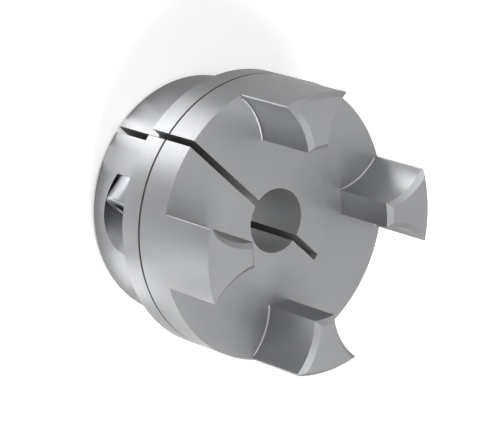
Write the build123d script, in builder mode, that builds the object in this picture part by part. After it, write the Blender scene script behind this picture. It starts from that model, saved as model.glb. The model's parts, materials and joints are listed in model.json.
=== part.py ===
from build123d import *
import os
from math import radians, tan

# One clamping hub of a curved-jaw shaft coupling, with its clamp screw, in millimetres.
# The hub stands on its flat rear face. Its origin is the bore's centre on that face, +Z runs
# along the bore towards the jaws, and the clamp slit opens towards -X.

# Turned body: a barrel at the rear, a wider flange in front of it, and a plain bore
flange_diameter = 60.0
flange_thickness = 13.7
step_height = 3.7
barrel_length = 15.8
barrel_edge_fillet = 1.6
step_fillet = 2.2
bore_diameter = 14.0
bore_lead_in = 0.5

# Ring groove, turned round the flange
groove_width = 0.6
groove_depth = 0.35
groove_to_step = 5.55

# Jaws: what is left of a ring on the flange after round gaps are milled out of it
jaw_count = 4
jaw_length = 15.5
jaw_inner_diameter = 36.6
gap_diameter = 29.2
gap_centre_radius = 24.4
jaw_front_chamfer = 1.05
jaw_edge_chamfer = 0.4
jaw_foot_fillet = 0.4

# Saw cut that lets the hub close on the shaft: from the rim at -X, through the bore,
# and on to a square end a little way past it
slit_width = 1.5
slit_end_from_axis = 15.0

# Clamp screw across the slit: a hexagon socket head cap screw with a 6 mm thread
screw_from_barrel_wall = 6.3
screw_from_rear = 10.3
head_seat_from_slit = 9.0
thread_diameter = 6.0
screw_length = 16.0
head_diameter = 10.0
head_height = 6.0
head_edge_chamfer = 0.5
socket_across_flats = 5.0
socket_sides = 6
socket_depth = 3.0
tip_chamfer = 0.6

# Room round the screw; the first three are measured on the radius
counterbore_clearance = 0.75
shank_hole_clearance = 0.3
thread_clearance = 0.05
tapped_hole_spare_depth = 2.0

drill_point_angle = 118.0
cut_overrun = 1.0

flange_radius = flange_diameter / 2
barrel_radius = flange_radius - step_height
bore_radius = bore_diameter / 2
jaw_inner_radius = jaw_inner_diameter / 2
gap_radius = gap_diameter / 2
face_height = barrel_length + flange_thickness
jaw_top = face_height + jaw_length
groove_low = barrel_length + groove_to_step - groove_width / 2
groove_high = groove_low + groove_width
groove_radius = flange_radius - groove_depth
screw_from_axis = barrel_radius - screw_from_barrel_wall
thread_radius = thread_diameter / 2
head_radius = head_diameter / 2
socket_radius = socket_across_flats / 2
counterbore_radius = head_radius + counterbore_clearance
shank_hole_radius = thread_radius + shank_hole_clearance
tapped_hole_radius = thread_radius + thread_clearance

# Heights along the screw's axis, counted from the middle of the slit
head_seat = -head_seat_from_slit
head_end = head_seat - head_height
socket_floor = head_end + socket_depth
screw_tip = head_seat + screw_length
tapped_hole_end = screw_tip + tapped_hole_spare_depth

# Sketches on this plane have the screw's axis as their Y axis, with the slit's middle at zero
screw_plane = Plane(origin=(-screw_from_axis, 0, screw_from_rear), x_dir=(-1, 0, 0), z_dir=(0, 0, -1))
screw_axis = Axis(screw_plane.origin, screw_plane.y_dir)


def drill_point(radius):
    """Length of the cone that a drill of this radius leaves at the bottom of its hole."""
    return radius / tan(radians(drill_point_angle / 2))


def corner_at(sketch, x, y):
    """The corner of a sketch at this point of its plane."""
    return sketch.vertices().sort_by_distance((x, y, 0))[0]


# The milling cutter's path for one gap between two jaws: round, with a small radius at the
# foot, and flared at the top, which leaves the chamfer along the jaws' flanks
with BuildPart() as gap_cut:
    with BuildSketch(Plane.XZ) as gap_profile:
        with BuildLine():
            Polyline(
                (0, face_height),
                (gap_radius, face_height),
                (gap_radius, jaw_top - jaw_front_chamfer),
                (gap_radius + jaw_front_chamfer + cut_overrun, jaw_top + cut_overrun),
                (0, jaw_top + cut_overrun),
                close=True,
            )
        make_face()
        fillet(corner_at(gap_profile, gap_radius, face_height), jaw_foot_fillet)
    revolve(axis=Axis.Z)

# Plan of the jaws with sharp outer edges, and with the small chamfer that their edges have
with BuildSketch() as sharp_plan:
    Circle(flange_radius)
    with PolarLocations(gap_centre_radius, jaw_count):
        Circle(gap_radius, mode=Mode.SUBTRACT)
with BuildSketch() as chamfered_plan:
    add(sharp_plan.sketch)
    chamfer(chamfered_plan.vertices().group_by(SortBy.DISTANCE)[-1], jaw_edge_chamfer)

# The hole for the clamp screw: counterbore and clearance hole in the half below the slit,
# blind tapped hole in the half above it
with BuildPart() as screw_hole:
    with BuildSketch(screw_plane):
        with BuildLine():
            Polyline(
                (0, -flange_radius),
                (counterbore_radius, -flange_radius),
                (counterbore_radius, head_seat),
                (shank_hole_radius, head_seat),
                (shank_hole_radius, 0),
                (tapped_hole_radius, 0),
                (tapped_hole_radius, tapped_hole_end),
                (0, tapped_hole_end + drill_point(tapped_hole_radius)),
                close=True,
            )
        make_face()
    revolve(axis=screw_axis)

with BuildPart() as hub:
    # Half section of the turned blank, with a solid ring where the jaws will be
    with BuildSketch(Plane.XZ) as blank:
        with BuildLine():
            Polyline(
                (bore_radius, 0),
                (barrel_radius, 0),
                (barrel_radius, barrel_length),
                (flange_radius, barrel_length),
                (flange_radius, groove_low),
                (groove_radius, groove_low),
                (groove_radius, groove_high),
                (flange_radius, groove_high),
                (flange_radius, jaw_top),
                (jaw_inner_radius, jaw_top),
                (jaw_inner_radius, face_height),
                (bore_radius, face_height),
                close=True,
            )
        make_face()
        chamfer(corner_at(blank, bore_radius, 0), bore_lead_in)
        fillet(corner_at(blank, barrel_radius, 0), barrel_edge_fillet)
        fillet(corner_at(blank, barrel_radius, barrel_length), step_fillet)
        chamfer(corner_at(blank, flange_radius, jaw_top), jaw_front_chamfer)
        chamfer(corner_at(blank, jaw_inner_radius, jaw_top), jaw_front_chamfer)
    revolve(axis=Axis.Z)

    with PolarLocations(gap_centre_radius, jaw_count, start_angle=180):
        add(gap_cut.part, mode=Mode.SUBTRACT)

    # Chamfer on the jaws' outer upright edges: what lies near each sharp corner goes, down to
    # the chamfered plan
    with BuildSketch(Plane.XY.offset(face_height)):
        with Locations(*sharp_plan.vertices().group_by(SortBy.DISTANCE)[-1]):
            Circle(cut_overrun)
        add(chamfered_plan.sketch, mode=Mode.SUBTRACT)
    extrude(amount=jaw_length + cut_overrun, mode=Mode.SUBTRACT)

    # The slit and the screw hole are cut last
    with BuildSketch(Plane.XY):
        with Locations((slit_end_from_axis, 0)):
            Rectangle(
                flange_diameter + slit_end_from_axis,
                slit_width,
                align=(Align.MAX, Align.CENTER),
            )
    extrude(amount=face_height, mode=Mode.SUBTRACT)
    add(screw_hole.part, mode=Mode.SUBTRACT)

with BuildPart() as clamp_screw:
    with BuildSketch(screw_plane) as screw_profile:
        with BuildLine():
            Polyline(
                (0, head_end),
                (head_radius, head_end),
                (head_radius, head_seat),
                (thread_radius, head_seat),
                (thread_radius, screw_tip),
                (0, screw_tip),
                close=True,
            )
        make_face()
        chamfer(corner_at(screw_profile, head_radius, head_end), head_edge_chamfer)
        chamfer(corner_at(screw_profile, thread_radius, screw_tip), tip_chamfer)
    revolve(axis=screw_axis)

    # Hexagon socket, with a drill point at its bottom
    with BuildSketch(screw_plane):
        with BuildLine():
            Polyline(
                (0, head_end),
                (socket_radius, head_end),
                (socket_radius, socket_floor),
                (0, socket_floor + drill_point(socket_radius)),
                close=True,
            )
        make_face()
    revolve(axis=screw_axis, mode=Mode.SUBTRACT)
    with BuildSketch(Plane(screw_plane.origin + (0, head_end, 0), x_dir=(1, 0, 0), z_dir=(0, -1, 0))):
        RegularPolygon(socket_radius, socket_sides, major_radius=False)
    extrude(amount=-socket_depth, mode=Mode.SUBTRACT)

os.makedirs("parts", exist_ok=True)
hub.part.label = "hub"
clamp_screw.part.label = "clamp_screw"
for piece in (hub, clamp_screw):
    export_step(piece.part, f"parts/{piece.part.label}.step")
    print(piece.part.label, "volume", round(piece.part.volume, 1), "solids", len(piece.part.solids()))
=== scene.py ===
# %% [markdown]
# # One half of a flexible shaft coupling
#
# This lesson dresses a clamping hub: a turned and milled aluminium body with four upright jaws,
# and the steel screw that clamps it on its shaft. On a machine a second hub faces it, and a
# rubber star sits between the jaws and lets the two shafts run slightly out of line.
#
# The hub stands on its rear face. The bore's axis is +Z, the clamp slit opens towards -X, and
# the screw's head faces -Y. The measured CAD model is the frame that everything is built on.

# %% Load the measured model
import bpy
import bmesh
import json
from math import atan2, cos, pi, radians, sin, sqrt, tan
from mathutils import Matrix, Vector


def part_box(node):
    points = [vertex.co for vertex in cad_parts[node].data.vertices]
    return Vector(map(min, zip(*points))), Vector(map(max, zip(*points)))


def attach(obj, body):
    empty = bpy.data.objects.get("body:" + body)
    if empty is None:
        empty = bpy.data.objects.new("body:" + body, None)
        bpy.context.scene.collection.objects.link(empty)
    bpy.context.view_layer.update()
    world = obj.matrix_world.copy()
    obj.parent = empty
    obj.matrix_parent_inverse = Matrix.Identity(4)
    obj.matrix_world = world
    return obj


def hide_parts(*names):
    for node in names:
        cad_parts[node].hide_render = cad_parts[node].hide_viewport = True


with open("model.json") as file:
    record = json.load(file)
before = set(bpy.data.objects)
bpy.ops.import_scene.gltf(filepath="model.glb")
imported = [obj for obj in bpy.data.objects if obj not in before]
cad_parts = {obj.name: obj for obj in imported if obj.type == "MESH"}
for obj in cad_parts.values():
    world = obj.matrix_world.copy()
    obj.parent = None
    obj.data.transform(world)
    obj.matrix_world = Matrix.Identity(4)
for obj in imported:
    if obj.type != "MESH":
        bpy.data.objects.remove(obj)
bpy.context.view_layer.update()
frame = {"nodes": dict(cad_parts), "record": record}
print("CAD nodes:", sorted(frame["nodes"]))

# %% [markdown]
# ## Sizes
#
# Blender works in metres and a machinist in millimetres, so MM turns one into the other. Sizes
# that the measured model already holds are read from it. The few that it can't tell, such as
# the milling cutter's path between two jaws, are written here once.

# %% Sizes in metres
MM = 0.001
hub_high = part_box("hub")[1]
screw_low, screw_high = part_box("clamp_screw")
mounts = {mount["name"]: mount for mount in frame["record"]["mounts"]}
flange_radius = hub_high.y
jaw_top = hub_high.z
face_height = mounts["spider_face"]["pos_m"][2]
jaw_count = 4
gap_radius = 14.6 * MM
gap_centre_radius = 24.4 * MM
jaw_front_chamfer = 1.05 * MM
bore_radius = mounts["shaft_clamp"]["dims"]["r_mm"] * MM
barrel_radius = 26.3 * MM
slit_width = 1.5 * MM
slit_end = 15.0 * MM
screw_axis_x = (screw_low.x + screw_high.x) / 2
screw_axis_z = (screw_low.z + screw_high.z) / 2
head_radius = (screw_high.x - screw_low.x) / 2
shank_hole_radius = 3.3 * MM
print("flange radius", round(flange_radius / MM, 2), "face at", round(face_height / MM, 2),
      "jaw tops at", round(jaw_top / MM, 2), "mm")

# %% [markdown]
# ## Two helpers for node trees
#
# Colours are picked as sRGB hex values, as in a paint program, but a renderer adds up linear
# light, so one function turns the first into the second. The other adds a node, sets its
# options and fills its inputs by name. It serves materials and Geometry Nodes alike, and keeps
# each tree readable as a list of what it is made of.

# %% Colour and node helpers
def linear(hex_value):
    """An sRGB hex colour as linear red, green, blue and alpha."""
    shares = [int(hex_value[i:i + 2], 16) / 255 for i in (1, 3, 5)]
    return tuple(s / 12.92 if s <= 0.04045 else ((s + 0.055) / 1.055) ** 2.4
                 for s in shares) + (1.0,)


def node(tree, kind, settings=None, **inputs):
    """Adds a node, sets its options and fills its inputs, named by name or identifier.

    An input takes a value, an output of another node, a whole node for its first output, or
    a list of nodes where several geometries are joined.
    """
    made = tree.nodes.new(kind)
    for option, value in (settings or {}).items():
        setattr(made, option, value)
    for name, value in inputs.items():
        socket = next(s for s in made.inputs
                      if s.enabled and name in (s.identifier, s.name.replace(" ", "_")))
        for source in (value if isinstance(value, list) else [value]):
            if isinstance(source, bpy.types.Node):
                source = next(output for output in source.outputs if output.enabled)
            if isinstance(source, bpy.types.NodeSocket):
                tree.links.new(source, socket)
            else:
                socket.default_value = source
    return made


print("mid grey is", [round(share, 3) for share in linear("#808080")])

# %% [markdown]
# ## Helpers for Geometry Nodes
#
# A Geometry Nodes tree is a recipe with named sizes. The first helper starts one, the second
# runs it on a piece. The exporter knows nothing of recipes, so the third keeps what the
# modifiers make as a plain mesh and takes them off.

# %% Recipe helpers
def new_recipe(name, sizes):
    """An empty Geometry Nodes tree with named inputs, and the sockets that they come out of."""
    tree = bpy.data.node_groups.new(name, "GeometryNodeTree")
    tree.interface.new_socket("Geometry", in_out="INPUT", socket_type="NodeSocketGeometry")
    for label, kind in sizes.items():
        tree.interface.new_socket(label, in_out="INPUT", socket_type="NodeSocket" + kind)
    tree.interface.new_socket("Geometry", in_out="OUTPUT", socket_type="NodeSocketGeometry")
    return tree, tree.nodes.new("NodeGroupInput").outputs


def add_recipe(piece, tree, values):
    """Puts a tree on a piece as a modifier, with each named size set by its identifier."""
    modifier = piece.modifiers.new(tree.name, "NODES")
    modifier.node_group = tree
    for socket in tree.interface.items_tree:
        if socket.in_out == "INPUT" and socket.name in values:
            modifier[socket.identifier] = values[socket.name]


def keep_result(piece):
    """Keeps what a piece's modifiers make as its plain mesh, and takes them off.

    Joined geometry that had no material yet leaves an empty slot, which goes too.
    """
    graph = bpy.context.evaluated_depsgraph_get()
    made = bpy.data.meshes.new_from_object(
        piece.evaluated_get(graph), preserve_all_data_layers=True, depsgraph=graph)
    empty_slots = [i for i, material in enumerate(made.materials) if material is None]
    for index in reversed(empty_slots):
        made.materials.pop(index=index)
    piece.modifiers.clear()
    made.name = piece.name
    piece.data = made


def new_piece(name, mesh, material):
    """A new object for a mesh, in the scene and with its material."""
    mesh.materials.append(material)
    piece = bpy.data.objects.new(name, mesh)
    bpy.context.scene.collection.objects.link(piece)
    return piece


def is_closed(mesh):
    """True where every edge of the mesh joins just two faces."""
    shell = bmesh.new()
    shell.from_mesh(mesh)
    closed = all(len(edge.link_faces) == 2 for edge in shell.edges)
    shell.free()
    return closed


print("recipe helpers ready")

# %% [markdown]
# ## Satin aluminium
#
# The hub is an aluminium alloy, turned on a lathe, milled between the jaws, and tumbled to take
# the burrs off. That leaves a grey satin metal. Three things make it: the lathe's faint rings,
# the milling cutter's upright marks on the jaws' flanks, and a fine grain from the tumbling.
#
# Turned marks follow one rule everywhere: they are rings round the bore. A picture of turned
# metal, wrapped round the hub, would break at every edge. A noise that is read at (distance
# from the axis, height) instead of (x, y, z) is a ring on a flat face and a hoop on a
# cylinder, with no seam.

# %% Sizes of the marks
# A fine finishing cut has a feed of about 0.1 mm a turn, which is finer than a pixel here, so
# the rings are drawn about four times as coarse, and shallow enough to stay a satin sheen
TURNED_MARK = 0.42 * MM
MILLED_MARK = 0.55 * MM
TUMBLED_GRAIN = 0.30 * MM
HANDLING_CLOUD = 9.0 * MM
MARK_DEPTH = 0.005 * MM
# A mesh of flat faces lies a little beside a true curve, and hardly at all beside a flat wall
CURVE_SLACK = 0.03 * MM
FLAT_SLACK = 0.01 * MM
print("rings of about", round(TURNED_MARK / MM, 2), "mm and flutes of about",
      round(MILLED_MARK / MM, 2), "mm")

# %% [markdown]
# ### Where light is painted inside
#
# The bore, the screw's hole and the inner part of the slit are painted a lighter grey. This is
# painted light, so that the insides look less black. Such places could be painted by hand, but
# their sizes are known. So each is a test of a point's coordinates.

# %% A test for where light is painted inside
# In the slit the painted light fades out between these two radii, towards the rim
PAINTED_LIGHT_OUTER_RADIUS = 25.0 * MM
PAINTED_LIGHT_INNER_RADIUS = 13.0 * MM


def painted_light_mask(tree, at, radius):
    """Painted light: 1 in the bore, the screw's hole and the inner part of the slit, else 0."""
    bore = node(tree, "ShaderNodeMath", {"operation": "LESS_THAN"},
                Value=radius, Value_001=bore_radius + CURVE_SLACK)

    between_walls = node(tree, "ShaderNodeMath", {"operation": "COMPARE"}, Value=at["Y"],
                         Value_001=0.0, Value_002=slit_width / 2 + FLAT_SLACK)
    on_slit_side = node(tree, "ShaderNodeMath", {"operation": "LESS_THAN"},
                        Value=at["X"], Value_001=slit_end + FLAT_SLACK)
    in_slit = node(tree, "ShaderNodeMath", {"operation": "MULTIPLY"},
                   Value=between_walls, Value_001=on_slit_side)
    depth = node(tree, "ShaderNodeMapRange", Value=radius, From_Min=PAINTED_LIGHT_INNER_RADIUS,
                 From_Max=PAINTED_LIGHT_OUTER_RADIUS, To_Min=1.0, To_Max=0.0)
    inner_slit = node(tree, "ShaderNodeMath", {"operation": "MULTIPLY"},
                      Value=in_slit, Value_001=depth)

    level = node(tree, "ShaderNodeCombineXYZ", X=at["X"], Z=at["Z"])
    from_screw = node(tree, "ShaderNodeVectorMath", {"operation": "DISTANCE"},
                      Vector=level, Vector_001=(screw_axis_x, 0.0, screw_axis_z))
    near_screw = node(tree, "ShaderNodeMath", {"operation": "LESS_THAN"},
                      Value=from_screw.outputs["Value"],
                      Value_001=shank_hole_radius + CURVE_SLACK)
    under_skin = node(tree, "ShaderNodeMath", {"operation": "LESS_THAN"},
                      Value=radius, Value_001=barrel_radius - 2 * CURVE_SLACK)
    screw_hole = node(tree, "ShaderNodeMath", {"operation": "MULTIPLY"},
                      Value=near_screw, Value_001=under_skin)

    anywhere = bore
    for opening in (inner_slit, screw_hole):
        anywhere = node(tree, "ShaderNodeMath", {"operation": "MAXIMUM"},
                        Value=anywhere, Value_001=opening)
    return anywhere


# The radius inside which the slit gets all of the painted light
print("stones reach into the slit down to a radius of", round(PAINTED_LIGHT_INNER_RADIUS / MM, 1), "mm")

# %% [markdown]
# ### The mill's marks
#
# The milling cutter stands upright and goes round each gap between two jaws, so it leaves fine
# flutes that run up the wall. Their pattern has to turn about the gap's own centre. The four
# gaps are alike, so the plan is folded into one eighth of a turn, where there is one gap only,
# and one pattern serves them all.

# %% Marks on the jaws' flanks
# Up the wall the pattern changes this much more slowly than round it
FLUTE_STRETCH = 0.06


def milled_marks(tree, at, plan):
    """The pattern of the flutes, and a second value that is 1 on the gaps' walls, else 0."""
    folded = node(tree, "ShaderNodeVectorMath", {"operation": "ABSOLUTE"}, Vector=plan)
    side = node(tree, "ShaderNodeSeparateXYZ", Vector=folded).outputs
    outwards = node(tree, "ShaderNodeMath", {"operation": "MAXIMUM"},
                    Value=side["X"], Value_001=side["Y"])
    across = node(tree, "ShaderNodeMath", {"operation": "MINIMUM"},
                  Value=side["X"], Value_001=side["Y"])
    along = node(tree, "ShaderNodeMath", {"operation": "SUBTRACT"},
                 Value=outwards, Value_001=gap_centre_radius)

    # Round the gap's centre, as a length on the wall, and up the wall
    angle = node(tree, "ShaderNodeMath", {"operation": "ARCTAN2"}, Value=across, Value_001=along)
    around_gap = node(tree, "ShaderNodeMath", {"operation": "MULTIPLY"},
                      Value=angle, Value_001=gap_radius)
    up_wall = node(tree, "ShaderNodeMath", {"operation": "MULTIPLY"},
                   Value=at["Z"], Value_001=FLUTE_STRETCH)
    wall_plan = node(tree, "ShaderNodeCombineXYZ", X=around_gap, Y=up_wall)
    flutes = node(tree, "ShaderNodeTexNoise", {"noise_dimensions": "2D"},
                  Vector=wall_plan, Scale=1 / MILLED_MARK, Detail=2.0)

    # Milled is what lies above the face and inside the gap's wall, which flares at the top
    gap_plan = node(tree, "ShaderNodeCombineXYZ", X=along, Y=across)
    from_gap = node(tree, "ShaderNodeVectorMath", {"operation": "LENGTH"}, Vector=gap_plan)
    flare = node(tree, "ShaderNodeMapRange", Value=at["Z"],
                 From_Min=jaw_top - jaw_front_chamfer, From_Max=jaw_top,
                 To_Min=gap_radius + CURVE_SLACK,
                 To_Max=gap_radius + jaw_front_chamfer + CURVE_SLACK)
    inside = node(tree, "ShaderNodeMath", {"operation": "LESS_THAN"},
                  Value=from_gap.outputs["Value"], Value_001=flare)
    above = node(tree, "ShaderNodeMath", {"operation": "GREATER_THAN"},
                 Value=at["Z"], Value_001=face_height + CURVE_SLACK)
    milled = node(tree, "ShaderNodeMath", {"operation": "MULTIPLY"}, Value=inside, Value_001=above)
    return flutes, milled


print("walls of", jaw_count, "gaps are", round((jaw_top - face_height) / MM, 2), "mm high")

# %% [markdown]
# ### The whole finish
#
# Metal has no colour under its shine, so the grey is the tint of what it mirrors. Tumbling makes
# it rough: a lamp spreads into a wide soft patch. The marks tilt the surface by a hair, and
# they and a faint cloud from handling vary the roughness, so that no patch is quite even.

# %% Material of the hub
TUMBLED_DARK, TUMBLED_LIGHT = "#8B8C8E", "#939495"
# A lighter grey painted inside the bore, the screw's hole and the slit: painted light
PAINTED_LIGHT_GREY = "#C9CACB"


def new_material(name):
    """An empty material and its node tree."""
    material = bpy.data.materials.new(name)
    material.use_nodes = True
    material.node_tree.nodes.clear()
    return material, material.node_tree


def satin_aluminium():
    """Turned, milled and tumbled aluminium: soft wide highlights with faint tool marks."""
    material, tree = new_material("satin_turned_aluminium")
    place = node(tree, "ShaderNodeTexCoord").outputs["Object"]
    at = node(tree, "ShaderNodeSeparateXYZ", Vector=place).outputs
    plan = node(tree, "ShaderNodeCombineXYZ", X=at["X"], Y=at["Y"])
    from_axis = node(tree, "ShaderNodeVectorMath", {"operation": "LENGTH"}, Vector=plan)
    radius = from_axis.outputs["Value"]
    half_section = node(tree, "ShaderNodeCombineXYZ", X=radius, Y=at["Z"])
    rings = node(tree, "ShaderNodeTexNoise", {"noise_dimensions": "2D"},
                 Vector=half_section, Scale=1 / TURNED_MARK, Detail=2.0)
    flutes, milled = milled_marks(tree, at, plan)
    marks = node(tree, "ShaderNodeMix", {"data_type": "FLOAT"}, Factor=milled, A=rings, B=flutes)

    grain = node(tree, "ShaderNodeTexNoise", Vector=place, Scale=1 / TUMBLED_GRAIN, Detail=3.0)
    cloud = node(tree, "ShaderNodeTexNoise", Vector=place, Scale=1 / HANDLING_CLOUD, Detail=4.0)
    relief = node(tree, "ShaderNodeMix", {"data_type": "FLOAT"}, Factor=0.35, A=marks, B=grain)
    bump = node(tree, "ShaderNodeBump", Height=relief, Strength=1.0, Distance=MARK_DEPTH)
    sheen = node(tree, "ShaderNodeMix", {"data_type": "FLOAT"}, Factor=0.5, A=marks, B=cloud)
    roughness = node(tree, "ShaderNodeMapRange", Value=sheen, From_Min=0.3, From_Max=0.7,
                     To_Min=0.41, To_Max=0.49)

    tumbled = node(tree, "ShaderNodeMix", {"data_type": "RGBA"}, Factor=cloud,
                   A=linear(TUMBLED_DARK), B=linear(TUMBLED_LIGHT))
    # Painted light: where the mask says so, the lighter grey stands in for light inside the
    # openings
    colour = node(tree, "ShaderNodeMix", {"data_type": "RGBA"}, A=tumbled, B=linear(PAINTED_LIGHT_GREY),
                  Factor=painted_light_mask(tree, at, radius))
    shader = node(tree, "ShaderNodeBsdfPrincipled", Base_Color=colour, Metallic=1.0,
                  Roughness=roughness, Normal=bump)
    node(tree, "ShaderNodeOutputMaterial", Surface=shader)
    return material


hub_metal = satin_aluminium()
print(hub_metal.name, "has", len(hub_metal.node_tree.nodes), "nodes")

# %% [markdown]
# ## The hub, with its jaw edges rounded
#
# The CAD model cuts the jaws' outer upright edges with a small flat. On the real hub they are
# rolled over by the tumbling, and a rounded edge is what catches the light in a thin bright
# line, whichever way the hub is turned. A flat can't do that.
#
# A Bevel modifier would round the flat's own two edges, and leave most of the flat. The eight
# edges repeat, so a Geometry Nodes recipe cuts them: one curved wall, swept along the arc of
# the round, is mirrored, copied once for each jaw, and taken off the hub.

# %% Where the round touches the jaw
EDGE_ROUND = 0.35 * MM
CUTTER_WALL = 0.9 * MM
# The round's centre is its own radius away from the gap's wall and from the flange's rim
inner, outer = gap_radius + EDGE_ROUND, flange_radius - EDGE_ROUND
round_along = (outer ** 2 - inner ** 2 + gap_centre_radius ** 2) / (2 * gap_centre_radius)
round_across = sqrt(outer ** 2 - round_along ** 2)
to_rim = atan2(round_across, round_along)
to_gap = atan2(-round_across, gap_centre_radius - round_along)
print("centre of the round", round(round_along / MM, 2), round(round_across / MM, 2), "mm")

# %% [markdown]
# ### The recipe
#
# The wall stands upright: an arc in plan, with a tall rectangle carried along it. A mirrored
# copy would be inside out, so its faces are flipped. After the cut, only the edges that are
# sharper than a set angle stay sharp to the eye.

# %% Recipe for the rounded edges
POINTS_ON_ROUND = 12


def rounded_jaw_edges():
    """Takes a rounded corner off each jaw's two outer upright edges."""
    tree, size = new_recipe("rounded_jaw_edges", {
        "Jaw Count": "Int", "Round Centre": "Vector", "Round Radius": "Float",
        "Start Angle": "Float", "Sweep Angle": "Float", "Wall": "Float", "Height": "Float",
        "Merge Distance": "Float", "Sharp Above": "Float", "Material": "Material"})
    halfway = node(tree, "ShaderNodeMath", {"operation": "MULTIPLY_ADD"},
                   Value=size["Wall"], Value_001=0.5, Value_002=size["Round Radius"])
    path = node(tree, "GeometryNodeCurveArc", Resolution=POINTS_ON_ROUND, Radius=halfway,
                Start_Angle=size["Start Angle"], Sweep_Angle=size["Sweep Angle"])
    section = node(tree, "GeometryNodeCurvePrimitiveQuadrilateral",
                   Width=size["Wall"], Height=size["Height"])
    wall = node(tree, "GeometryNodeCurveToMesh", Curve=path, Profile_Curve=section, Fill_Caps=True)
    left = node(tree, "GeometryNodeTransform", Geometry=wall, Translation=size["Round Centre"])
    mirrored = node(tree, "GeometryNodeTransform", Geometry=left, Scale=(1, -1, 1))
    right = node(tree, "GeometryNodeFlipFaces", Mesh=mirrored)
    pair = node(tree, "GeometryNodeJoinGeometry", Geometry=[left, right])

    spots = node(tree, "GeometryNodePoints", Count=size["Jaw Count"])
    step = node(tree, "ShaderNodeMath", {"operation": "DIVIDE"},
                Value=2 * pi, Value_001=size["Jaw Count"])
    turn = node(tree, "ShaderNodeMath", {"operation": "MULTIPLY"},
                Value=node(tree, "GeometryNodeInputIndex"), Value_001=step)
    copies = node(tree, "GeometryNodeInstanceOnPoints", Points=spots, Instance=pair,
                  Rotation=node(tree, "ShaderNodeCombineXYZ", Z=turn))
    cutters = node(tree, "GeometryNodeRealizeInstances", Geometry=copies)

    merged = node(tree, "GeometryNodeMergeByDistance", Geometry=size["Geometry"],
                  Distance=size["Merge Distance"])
    rounded = node(tree, "GeometryNodeMeshBoolean", {"operation": "DIFFERENCE", "solver": "EXACT"},
                   Mesh_1=merged, Mesh_2=cutters)
    smooth = node(tree, "GeometryNodeSetShadeSmooth", Geometry=rounded, Shade_Smooth=True)
    corner = node(tree, "FunctionNodeCompare", {"operation": "GREATER_THAN"},
                  A=node(tree, "GeometryNodeInputMeshEdgeAngle"), B=size["Sharp Above"])
    creased = node(tree, "GeometryNodeSetShadeSmooth", {"domain": "EDGE"}, Geometry=smooth,
                   Selection=corner, Shade_Smooth=False)
    dressed = node(tree, "GeometryNodeSetMaterial", Geometry=creased, Material=size["Material"])
    node(tree, "NodeGroupOutput", Geometry=dressed)
    return tree


jaw_edge_recipe = rounded_jaw_edges()
print(jaw_edge_recipe.name, "has", len(jaw_edge_recipe.nodes), "nodes")

# %% [markdown]
# ### The finished hub
#
# The CAD mesh is loose triangles that carry their own stored normals. A plain copy leaves those
# behind, and the recipe joins the triangles before it cuts them. Weighted Normal then shades
# the result: large faces keep their own direction, so that small rounds beside them don't tint
# them.

# %% Run the recipe on a copy
CUTTER_ABOVE_JAWS = 2.0 * MM
MERGE_DISTANCE = 0.002 * MM
HUB_CREASE = radians(33)


def hub_copy():
    """A plain copy of the CAD hub's mesh, without its stored normals."""
    cad_mesh = frame["nodes"]["hub"].data
    mesh = bpy.data.meshes.new("clamping_hub")
    mesh.from_pydata([corner.co for corner in cad_mesh.vertices], [],
                     [list(face.vertices) for face in cad_mesh.polygons])
    return mesh


cutter_top = jaw_top + CUTTER_ABOVE_JAWS
hub = new_piece("clamping_hub", hub_copy(), hub_metal)
add_recipe(hub, jaw_edge_recipe, {
    "Jaw Count": jaw_count, "Round Radius": EDGE_ROUND, "Wall": CUTTER_WALL,
    "Round Centre": (round_along, round_across, (face_height + cutter_top) / 2),
    "Height": cutter_top - face_height, "Start Angle": to_gap, "Sweep Angle": to_rim - to_gap,
    "Merge Distance": MERGE_DISTANCE, "Sharp Above": HUB_CREASE, "Material": hub_metal})
level_shade = hub.modifiers.new("level_shade", "WEIGHTED_NORMAL")
level_shade.keep_sharp = True
keep_result(hub)
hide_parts("hub")
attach(hub, "hub")
print("hub closed:", is_closed(hub.data), "with", len(hub.data.polygons), "faces")

# %% [markdown]
# ## Zinc-plated steel
#
# The clamp screw is a hardened steel screw with a thin bright zinc coat. It is a little bluer
# and shinier than the aluminium, and slightly cloudy, because the coat grows in fine crystals.
# A bright coat shows no single crystal, so two soft noises are enough: a fine one for the
# crystals and a wide one for the cloud.

# %% Material of the screw
# Real zinc crystals are a few hundredths of a millimetre wide; they are drawn ten times as wide
ZINC_CRYSTAL = 0.35 * MM
ZINC_CLOUD = 2.5 * MM
ZINC_GRAIN_DEPTH = 0.0015 * MM
ZINC_DARK, ZINC_LIGHT = "#8F9196", "#9B9DA0"


def zinc_plated_steel():
    """Bright zinc on steel: a tight highlight, slightly blue, broken up by a faint cloud."""
    material, tree = new_material("bright_zinc_plated_steel")
    place = node(tree, "ShaderNodeTexCoord").outputs["Object"]
    crystals = node(tree, "ShaderNodeTexNoise", Vector=place, Scale=1 / ZINC_CRYSTAL, Detail=2.0)
    cloud = node(tree, "ShaderNodeTexNoise", Vector=place, Scale=1 / ZINC_CLOUD, Detail=3.0)
    mixed = node(tree, "ShaderNodeMix", {"data_type": "FLOAT"}, Factor=0.5, A=crystals, B=cloud)
    colour = node(tree, "ShaderNodeMix", {"data_type": "RGBA"}, Factor=mixed,
                  A=linear(ZINC_DARK), B=linear(ZINC_LIGHT))
    roughness = node(tree, "ShaderNodeMapRange", Value=mixed, From_Min=0.3, From_Max=0.7,
                     To_Min=0.28, To_Max=0.37)
    bump = node(tree, "ShaderNodeBump", Height=crystals, Strength=1.0, Distance=ZINC_GRAIN_DEPTH)
    shader = node(tree, "ShaderNodeBsdfPrincipled", Base_Color=colour, Metallic=1.0,
                  Roughness=roughness, Normal=bump)
    node(tree, "ShaderNodeOutputMaterial", Surface=shader)
    return material


screw_metal = zinc_plated_steel()
print(screw_metal.name, "has", len(screw_metal.node_tree.nodes), "nodes")

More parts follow.
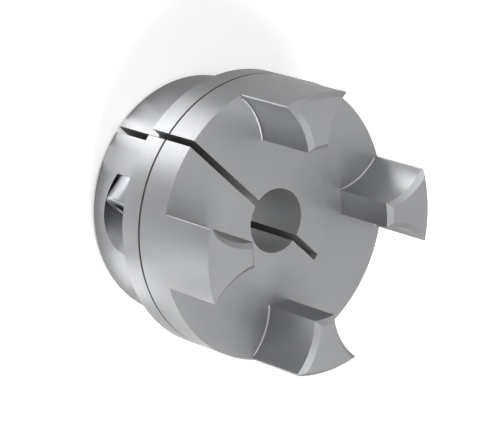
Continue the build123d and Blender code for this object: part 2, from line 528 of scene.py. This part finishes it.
# %% [markdown]
# ## The clamp screw
#
# A socket head cap screw: a round head with a hexagon socket for the key, a short smooth neck,
# and a rolled thread of 6 mm with a pitch of 1 mm. The head and core are one turned shape, made
# by spinning a half section. The socket is cut into it, as a punch does on the real screw.
#
# The screw is built upright, with its head end lowest, and is laid along its place at the end.

# %% Sizes of the screw
head_end, screw_tip = screw_low.y, screw_high.y
head_height = 6.0 * MM
head_seat = head_end + head_height
thread_radius = 3.0 * MM
pitch = 1.0 * MM
# A metric thread is this share of its pitch deep
thread_depth = 0.613 * pitch
core_radius = thread_radius - thread_depth
tip_chamfer = 0.6 * MM
print("screw lies at x", round(screw_axis_x / MM, 2), "z", round(screw_axis_z / MM, 2),
      "from y", round(head_end / MM, 2), "to", round(screw_tip / MM, 2), "mm")

# %% [markdown]
# ### Head and core
#
# A lathe shape needs no modifier: its half section is a list of points, and each point makes
# one ring of corners. A point on the axis makes a single corner, which closes the end.

# %% Spun shapes
def arc(centre_r, centre_z, radius, start, end, steps=5):
    """Points of (distance from the axis, height) on an arc, with its angles in degrees."""
    angles = [radians(start + (end - start) * i / steps) for i in range(steps + 1)]
    return [(centre_r + radius * cos(a), centre_z + radius * sin(a)) for a in angles]


def spun(name, half_section, sides):
    """A closed mesh from a half section that starts and ends on the Z axis."""
    shell = bmesh.new()
    rings = []
    for r, z in half_section:
        count = sides if r > 0 else 1
        rings.append([shell.verts.new((r * cos(2 * pi * i / sides), r * sin(2 * pi * i / sides), z))
                      for i in range(count)])
    for low, high in zip(rings, rings[1:]):
        for i in range(sides):
            j = (i + 1) % sides
            face = [low[i % len(low)], low[j % len(low)], high[j % len(high)], high[i % len(high)]]
            shell.faces.new(list(dict.fromkeys(face)))
    bmesh.ops.recalc_face_normals(shell, faces=shell.faces)
    mesh = bpy.data.meshes.new(name)
    shell.to_mesh(mesh)
    shell.free()
    return mesh


print("spinning helpers ready")

# %% Spin the head and core
ROUND_SIDES = 64
head_round = 0.5 * MM
under_head = 0.15 * MM
neck_fillet = 0.25 * MM
neck_length = 2.8 * MM
neck_end = head_seat + neck_length
core = (
    [(0.0, head_end)]
    + arc(head_radius - head_round, head_end + head_round, head_round, -90, 0)
    + [(head_radius, head_seat - under_head), (head_radius - under_head, head_seat)]
    + arc(thread_radius + neck_fillet, head_seat + neck_fillet, neck_fillet, -90, -180)
    + [(thread_radius, neck_end), (core_radius, neck_end + pitch), (core_radius, screw_tip),
       (0.0, screw_tip)]
)
screw_mesh = spun("clamp_screw_threaded", core, ROUND_SIDES)
screw = new_piece("clamp_screw_threaded", screw_mesh, screw_metal)
print("head and core closed:", is_closed(screw.data))

# %% [markdown]
# ### The key socket
#
# Three cutters leave the socket: a hexagon, the cone that a drill leaves at its bottom, and a
# shallow countersink that takes the sharp corners off its mouth. Each is spun as well, because
# a hexagon is only a circle with six sides.

# %% Cut the socket
SOCKET_SIDES, CONE_SIDES = 6, 48
socket_across_flats = 5.0 * MM
socket_depth = 3.0 * MM
drill_radius = 2.4 * MM
drill_point = radians(118)
mouth = 0.12 * MM
overrun = 1.0 * MM
corner_radius = socket_across_flats / 2 / cos(pi / SOCKET_SIDES)
socket_floor = head_end + socket_depth
drill_end = socket_floor + drill_radius / tan(drill_point / 2)
outside = head_end - overrun
mouth_end = head_end + 2 * mouth
cutters = [
    spun("hexagon", [(0.0, outside), (corner_radius, outside),
                     (corner_radius, socket_floor), (0.0, socket_floor)], SOCKET_SIDES),
    spun("drill_point", [(0.0, socket_floor - mouth), (drill_radius, socket_floor - mouth),
                         (drill_radius, socket_floor), (0.0, drill_end)], CONE_SIDES),
    spun("countersink", [(0.0, outside), (corner_radius + mouth + overrun, outside),
                         (corner_radius - mouth, mouth_end), (0.0, mouth_end)], CONE_SIDES),
]
for mesh in cutters:
    cutter = new_piece(mesh.name, mesh, screw_metal)
    cut = screw.modifiers.new(mesh.name, "BOOLEAN")
    cut.object = cutter
    cut.operation = "DIFFERENCE"
    cut.solver = "MANIFOLD"
keep_result(screw)
for mesh in cutters:
    bpy.data.objects.remove(bpy.data.objects[mesh.name])
print("socket cut, still closed:", is_closed(screw.data))

# %% [markdown]
# ### The thread
#
# A rolled thread is a ridge that follows a helix, so it is swept: a trapezoid with 60 degrees
# between its flanks goes along a spiral, and stands on the core. A pattern in the material
# could draw it, but would leave the screw's outline straight. At the screw's tip the real
# blank is chamfered before it is rolled, and so the ridge is held below that cone.

# %% Recipe for the thread
POINTS_IN_A_TURN = 48


def rolled_thread():
    """A right-hand ridge along a helix, thinned towards the tip of the screw."""
    tree, size = new_recipe("rolled_thread", {
        "Middle Radius": "Float", "Depth": "Float", "Pitch": "Float", "Turns": "Float",
        "Root Width": "Float", "Crest Width": "Float", "Start": "Float", "Tip": "Float",
        "Tip Radius": "Float", "Material": "Material"})
    rise = node(tree, "ShaderNodeMath", {"operation": "MULTIPLY"},
                Value=size["Pitch"], Value_001=size["Turns"])
    helix = node(tree, "GeometryNodeCurveSpiral", Resolution=POINTS_IN_A_TURN,
                 Rotations=size["Turns"], Start_Radius=size["Middle Radius"],
                 End_Radius=size["Middle Radius"], Height=rise, Reverse=False)
    upright = node(tree, "GeometryNodeSetCurveNormal", {"mode": "Z_UP"}, Curve=helix)
    trapezoid = node(tree, "GeometryNodeCurvePrimitiveQuadrilateral", {"mode": "TRAPEZOID"},
                     Height=size["Depth"], Bottom_Width=size["Root Width"],
                     Top_Width=size["Crest Width"], Offset=0.0)
    outwards = node(tree, "GeometryNodeTransform", Geometry=trapezoid, Rotation=(0, 0, -pi / 2))
    ridge = node(tree, "GeometryNodeCurveToMesh", Curve=upright, Profile_Curve=outwards,
                 Fill_Caps=True)
    raised = node(tree, "GeometryNodeTransform", Geometry=ridge,
                  Translation=node(tree, "ShaderNodeCombineXYZ", Z=size["Start"]))

    # Every point is drawn in towards the axis until it lies below the cone of the tip
    here = node(tree, "GeometryNodeInputPosition").outputs[0]
    at = node(tree, "ShaderNodeSeparateXYZ", Vector=here).outputs
    flat = node(tree, "ShaderNodeCombineXYZ", X=at["X"], Y=at["Y"])
    radius = node(tree, "ShaderNodeVectorMath", {"operation": "LENGTH"}, Vector=flat)
    to_tip = node(tree, "ShaderNodeMath", {"operation": "SUBTRACT"},
                  Value=size["Tip"], Value_001=at["Z"])
    cone = node(tree, "ShaderNodeMath", {"operation": "ADD"},
                Value=to_tip, Value_001=size["Tip Radius"])
    share = node(tree, "ShaderNodeMath", {"operation": "DIVIDE"},
                 Value=cone, Value_001=radius.outputs["Value"])
    at_most = node(tree, "ShaderNodeMath", {"operation": "MINIMUM"}, Value=share, Value_001=1.0)
    drawn_in = node(tree, "ShaderNodeVectorMath", {"operation": "MULTIPLY"}, Vector=here,
                    Vector_001=node(tree, "ShaderNodeCombineXYZ", X=at_most, Y=at_most, Z=1.0))
    thinned = node(tree, "GeometryNodeSetPosition", Geometry=raised, Position=drawn_in)
    both = node(tree, "GeometryNodeJoinGeometry", Geometry=[size["Geometry"], thinned])
    smooth = node(tree, "GeometryNodeSetShadeSmooth", Geometry=both, Shade_Smooth=True)
    real = node(tree, "GeometryNodeRealizeInstances", Geometry=smooth)
    dressed = node(tree, "GeometryNodeSetMaterial", Geometry=real, Material=size["Material"])
    node(tree, "NodeGroupOutput", Geometry=dressed)
    return tree


thread_recipe = rolled_thread()
print(thread_recipe.name, "has", len(thread_recipe.nodes), "nodes")

# %% [markdown]
# ### The finished screw
#
# The ridge starts inside the neck, which hides its end, and stops half a pitch short of the
# tip. The screw was built upright and is now laid along its hole. Its mesh is turned and not
# its object, because the patterns of its finish follow the object.

# %% Run the recipe and lay the screw down
SCREW_CREASE = radians(28)
end_spare = 0.5 * pitch
thread_start = neck_end - end_spare
crest_width = pitch / 8
flank_angle = radians(30)
root_width = crest_width + 2 * thread_depth * tan(flank_angle)
add_recipe(screw, thread_recipe, {
    "Middle Radius": (thread_radius + core_radius) / 2, "Depth": thread_depth,
    "Pitch": pitch, "Turns": (screw_tip - end_spare - thread_start) / pitch,
    "Root Width": root_width, "Crest Width": crest_width, "Start": thread_start,
    "Tip": screw_tip, "Tip Radius": thread_radius - tip_chamfer, "Material": screw_metal})
keep_result(screw)
lay_down = Matrix.Translation((screw_axis_x, 0, screw_axis_z)) @ Matrix.Rotation(-pi / 2, 4, "X")
screw.data.transform(lay_down)
screw.data.set_sharp_from_angle(angle=SCREW_CREASE)
level_shade = screw.modifiers.new("level_shade", "WEIGHTED_NORMAL")
level_shade.keep_sharp = True
keep_result(screw)
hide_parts("clamp_screw")
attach(screw, "clamp_screw")
print("screw closed:", is_closed(screw.data), "with", len(screw.data.polygons), "faces")

# %% [markdown]
# ## White floor
#
# A product picture has a white background. The floor is matt white paint that the lamps light,
# helped by a glow that the eye sees and that puts no light on the hub. It glows little near the
# hub, so that the hub's soft shadow stays, and more where the lamps don't reach.

# %% The floor
FLOOR_SIZE = 4.0
WHITE_PAINT = "#E6E6E6"
# The lamps make the floor nearly white near the hub. Between these two distances they reach it
# less and less, and its glow goes from the first strength to the second
LAMPLIT, UNLIT = 50.0 * MM, 500.0 * MM
GLOW_NEAR, GLOW_FAR = 0.42, 0.8
GLOW_IN_METAL = 0.05


def white_floor():
    """Matt white paint, helped by a glow for the eye and a much weaker one in metal."""
    material, tree = new_material("white_studio_floor")
    path = node(tree, "ShaderNodeLightPath").outputs
    mirrored = node(tree, "ShaderNodeMath", {"operation": "MAXIMUM"},
                    Value=path["Is Glossy Ray"], Value_001=path["Is Transmission Ray"])
    in_metal = node(tree, "ShaderNodeMath", {"operation": "MULTIPLY"},
                    Value=mirrored, Value_001=GLOW_IN_METAL)
    place = node(tree, "ShaderNodeTexCoord").outputs["Object"]
    distance = node(tree, "ShaderNodeVectorMath", {"operation": "LENGTH"}, Vector=place)
    to_eye = node(tree, "ShaderNodeMapRange", Value=distance.outputs["Value"],
                  From_Min=LAMPLIT, From_Max=UNLIT, To_Min=GLOW_NEAR, To_Max=GLOW_FAR)
    strength = node(tree, "ShaderNodeMath", {"operation": "MULTIPLY_ADD"},
                    Value=path["Is Camera Ray"], Value_001=to_eye, Value_002=in_metal)
    paint = node(tree, "ShaderNodeBsdfDiffuse", Color=linear(WHITE_PAINT))
    glow = node(tree, "ShaderNodeEmission", Color=(1, 1, 1, 1), Strength=strength)
    both = node(tree, "ShaderNodeAddShader", Shader=paint, Shader_001=glow)
    node(tree, "ShaderNodeOutputMaterial", Surface=both)
    return material


bpy.ops.mesh.primitive_plane_add(size=FLOOR_SIZE, location=(0, 0, 0))
floor = bpy.context.object
floor.name = "studio_floor"
floor.data.materials.append(white_floor())
print("floor is", FLOOR_SIZE, "m wide")

# %% [markdown]
# ## White surroundings
#
# Beyond the floor everything is white, for the eye and in the metal, because a metal with
# nothing to mirror is black. What falls on the floor from there is weaker, so that the shadows
# are made by the lamps.

# %% The surroundings
LIGHT_ON_FLOOR = 0.25


def white_air():
    """White surroundings: full white to the eye and in metal, and a weak light on the floor."""
    air = bpy.data.worlds.new("white_studio")
    air.use_nodes = True
    tree = air.node_tree
    tree.nodes.clear()
    path = node(tree, "ShaderNodeLightPath").outputs
    mirrored = node(tree, "ShaderNodeMath", {"operation": "MAXIMUM"},
                    Value=path["Is Glossy Ray"], Value_001=path["Is Transmission Ray"])
    seen = node(tree, "ShaderNodeMath", {"operation": "MAXIMUM"},
                Value=mirrored, Value_001=path["Is Camera Ray"])
    strength = node(tree, "ShaderNodeMapRange", Value=seen,
                    To_Min=LIGHT_ON_FLOOR, To_Max=1.0)
    glow = node(tree, "ShaderNodeBackground", Color=(1, 1, 1, 1), Strength=strength)
    node(tree, "ShaderNodeOutputWorld", Surface=glow)
    return air


bpy.context.scene.world = white_air()
print("world:", bpy.context.scene.world.name)

# %% [markdown]
# ## Soft boxes
#
# A satin metal shows its lamps as soft patches. Three soft boxes hang above the hub: the key in
# front, and two weaker ones on the left and behind, which keep the faces even.
#
# The camera looks down, so an upright wall mirrors what lies below it. Small soft boxes just
# above the floor light the front of the flange and barrel, and one the inside of a jaw. None
# of them is in the picture.

# %% Lamps round the hub
def around(azimuth, radius, height):
    """A point round the bore's axis, from millimetres; the azimuth counts from +X towards +Y."""
    return Vector((radius * cos(radians(azimuth)), radius * sin(radians(azimuth)), height)) * MM


def softbox(name, place, aim, size_mm, power, spread=180):
    """A square lamp at a place, turned towards a point, and not itself in the picture."""
    lamp = bpy.data.objects.new(name, bpy.data.lights.new(name, "AREA"))
    bpy.context.scene.collection.objects.link(lamp)
    lamp.data.size = size_mm * MM
    lamp.data.energy = power
    lamp.data.spread = radians(spread)
    lamp.location = place
    lamp.rotation_euler = (aim - place).to_track_quat("-Z", "Y").to_euler()
    lamp.visible_camera = False
    return lamp


hub_middle, flange_middle = around(0, 0, 20), around(0, 0, 30)
softbox("key", around(300, 250, 453), hub_middle, 220, 1.85)
softbox("top_left", around(180, 250, 453), hub_middle, 220, 0.65)
softbox("top_back", around(130, 321, 403), hub_middle, 220, 0.55)
softbox("low_front", around(270, 65, 2), flange_middle, 20, 0.0070)
softbox("low_right", around(300, 65, 2), flange_middle, 20, 0.0060)
softbox("low_left", around(240, 65, 2), flange_middle, 20, 0.0039)
softbox("barrel_front", around(255, 38, 1), around(255, 26, 12), 16, 0.0016)
softbox("jaw_fill", around(110.8, 53.5, 2), around(57.1, 26.7, 38), 12, 0.0004, 30)
print("soft boxes:", len(bpy.data.lights))

# %% [markdown]
# ## Cards on the floor
#
# A photographer lays white cards round a shiny piece to draw bright lines on it. Here they glow
# by themselves. They draw the bright streak that runs up the left side through slit and flange,
# fill the barrel below it, and keep the bore from going black.
#
# The streak is made by three cards of different widths, because one alone would end in a hard
# line on the barrel. All lie at slightly different heights, so that none covers another.

# %% Glowing cards
def floor_card(name, centre_mm, length_mm, width_mm, power, along=155):
    """A glowing card that lies on the floor and faces up, with its long side along a direction."""
    place = Vector(centre_mm) * MM
    card = softbox(name, place, place + Vector((0, 0, 1)), length_mm, power)
    card.data.shape = "RECTANGLE"
    card.data.size_y = width_mm * MM
    card.rotation_euler = (pi, 0, radians(along))


floor_card("streak_far", (-63.0, 19.2, 0.4), 50, 30, 0.0068)
floor_card("streak_core", (-46.7, 9.3, 0.60), 40, 8, 0.0012)
floor_card("streak_middle", (-46.7, 9.3, 0.62), 38, 18, 0.0018)
floor_card("streak_edge", (-48.5, 10.1, 0.64), 36, 32, 0.0021)
floor_card("edge_line", (-52.0, -1.0, 0.5), 26, 12, 0.0022)
floor_card("streak_near", (-31.8, 2.3, 0.8), 12, 6, 0.00038)
floor_card("barrel_left", (-29.8, -5.5, 1.0), 10, 6, 0.00017)
floor_card("barrel_side", (-27.9, -19.5, 0.7), 30, 8, 0.0012, along=125)
floor_card("barrel_foot", (-8.3, -31.2, 0.9), 14, 6, 0.00045, along=165)
floor_card("bore_fill", (0, 0, 0.6), 9, 9, 0.00010)
print("soft boxes and cards:", len(bpy.data.lights))

# %% [markdown]
# ## Camera
#
# The camera was matched to the photograph from the hub's own circles and corners: its rims, its
# bore, the slit and the jaws. It is a long lens from above the jaws, rolled on its side.

# %% Camera at the photograph's angle
camera = bpy.data.objects.new("camera", bpy.data.cameras.new("camera"))
bpy.context.scene.collection.objects.link(camera)
bpy.context.scene.camera = camera
camera.data.sensor_width = 36.0
camera.data.lens = 204.70
camera.data.clip_start = 0.01
camera.data.clip_end = 20.0
camera_place = Vector((-0.383017, -0.132755, 0.469355))
camera_aim = Vector((-0.000435, -0.000392, 0.022012))
camera_roll = radians(107.307)
towards = (camera_aim - camera_place).to_track_quat("-Z", "Y").to_matrix()
camera.matrix_world = (Matrix.Translation(camera_place)
                       @ (towards @ Matrix.Rotation(camera_roll, 3, "Z")).to_4x4())
bpy.context.scene.view_settings.view_transform = "Standard"
print("camera", round((camera_aim - camera_place).length / MM), "mm from the hub")
